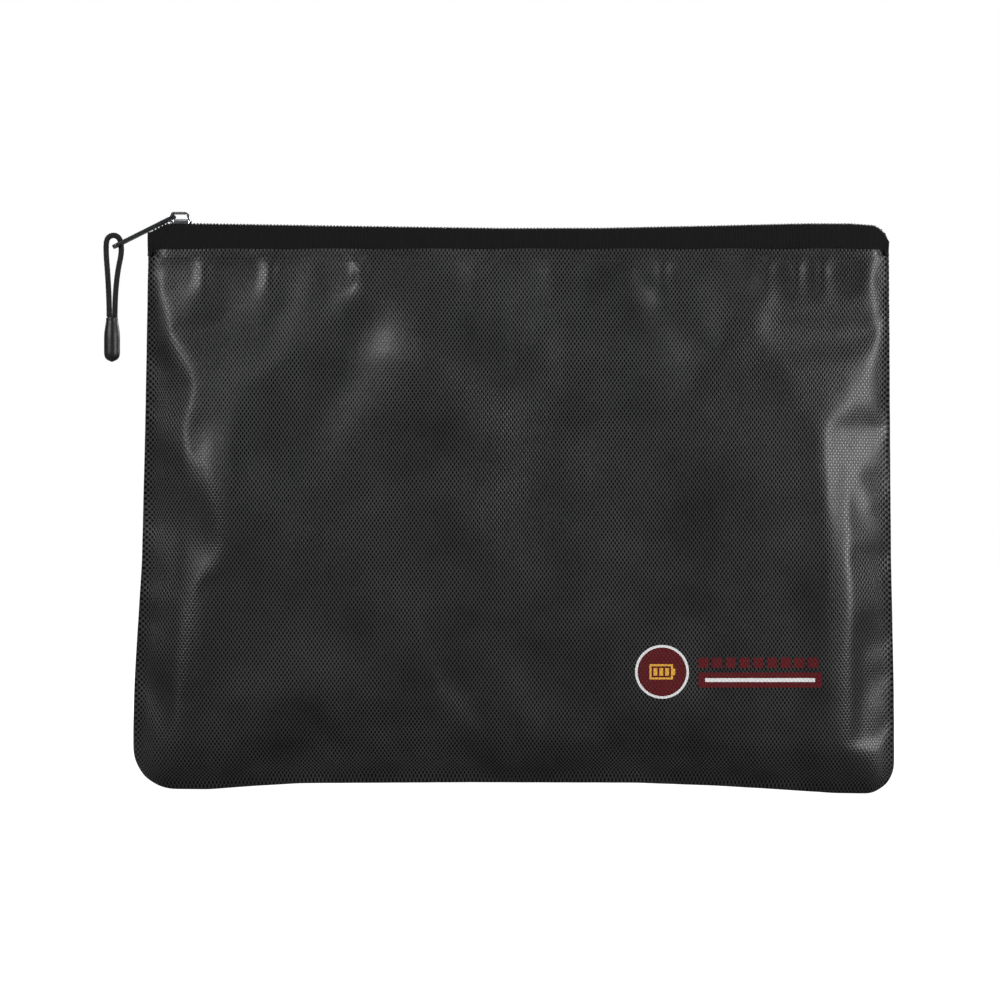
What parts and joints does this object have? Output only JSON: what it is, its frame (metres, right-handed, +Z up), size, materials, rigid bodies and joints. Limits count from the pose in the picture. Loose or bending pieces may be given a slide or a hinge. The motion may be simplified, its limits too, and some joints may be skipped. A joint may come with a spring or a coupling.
{
  "type": "zipped fireproof pouch",
  "caption": "Zipped pouch of coated glass cloth that holds model battery packs or papers and keeps fire away from them.",
  "frame": {"origin": "under the middle of the object, at the foot of the bottom seam", "axes": "+X along the zip from its closed end to its open end, -Y out of the printed front panel, +Z up to the zip"},
  "size_m": [0.356, 0.0241, 0.2619],
  "materials": {
    "coated_glass_cloth": "satin silicone coat over a small diamond weave",
    "lining_cloth": "plain woven glass cloth",
    "binding_tape": "matt",
    "zip_tape": "matt ribbed polyester",
    "coil_nylon": "satin monofilament",
    "thread": "twisted polyester",
    "slider_chrome": "bright plated zinc",
    "puller_metal": "dark plated zinc",
    "pull_cord": "braided",
    "grip_rubber": "matt moulded",
    "print_ink": "screen print in dark red, gold and white"
  },
  "bodies": {
    "pouch": {"front_outer_panel": "coated_glass_cloth", "back_outer_panel": "coated_glass_cloth", "front_lining": "lining_cloth", "back_lining": "lining_cloth", "left_seam_binding": "binding_tape", "right_seam_binding": "binding_tape", "bottom_seam_binding": "binding_tape", "front_tape_thread": "thread", "back_tape_thread": "thread", "left_end_tab": "zip_tape", "right_end_tab": "zip_tape", "emblem_print": "print_ink", "label_print": "print_ink"},
    "front_mouth": {"front_zip_tape": "zip_tape", "front_zip_coil": "coil_nylon", "front_coil_core": "thread"},
    "back_mouth": {"back_zip_tape": "zip_tape", "back_zip_coil": "coil_nylon", "back_coil_core": "thread"},
    "slider": {"slider_body": "slider_chrome", "slider_bow": "slider_chrome"},
    "puller": {"puller": "puller_metal"},
    "pull": {"pull_cord": "pull_cord", "cord_grip": "grip_rubber"}
  },
  "joints": [
    {"name": "slider_slide", "type": "slide", "parent": "pouch", "child": "slider", "axis": [1, 0, 0], "range_m": [0, 0.29]},
    {"name": "front_mouth_open", "type": "hinge", "parent": "pouch", "child": "front_mouth", "pos_m": [0, -0.0054, 0.2422], "axis": [1, 0, 0], "range_deg": [0, 30], "deforming": ["front_zip_tape", "front_zip_coil", "front_coil_core"]},
    {"name": "back_mouth_open", "type": "hinge", "parent": "pouch", "child": "back_mouth", "pos_m": [0, 0.0054, 0.2422], "axis": [-1, 0, 0], "range_deg": [0, 30], "deforming": ["back_zip_tape", "back_zip_coil", "back_coil_core"]},
    {"name": "puller_flip", "type": "hinge", "parent": "slider", "child": "puller", "pos_m": [-0.14843, 0, 0.2597], "axis": [0, 1, 0], "range_deg": [0, 196]},
    {"name": "cord_swing", "type": "hinge", "parent": "puller", "child": "pull", "pos_m": [-0.17239, 0, 0.2477], "axis": [0, 1, 0], "range_deg": [-12, 30]}
  ],
  "couplings": [
    {"joint": "front_mouth_open", "follows": "slider_slide", "rad_per_m": 1.8055},
    {"joint": "back_mouth_open", "follows": "slider_slide", "rad_per_m": 1.8055}
  ]
}
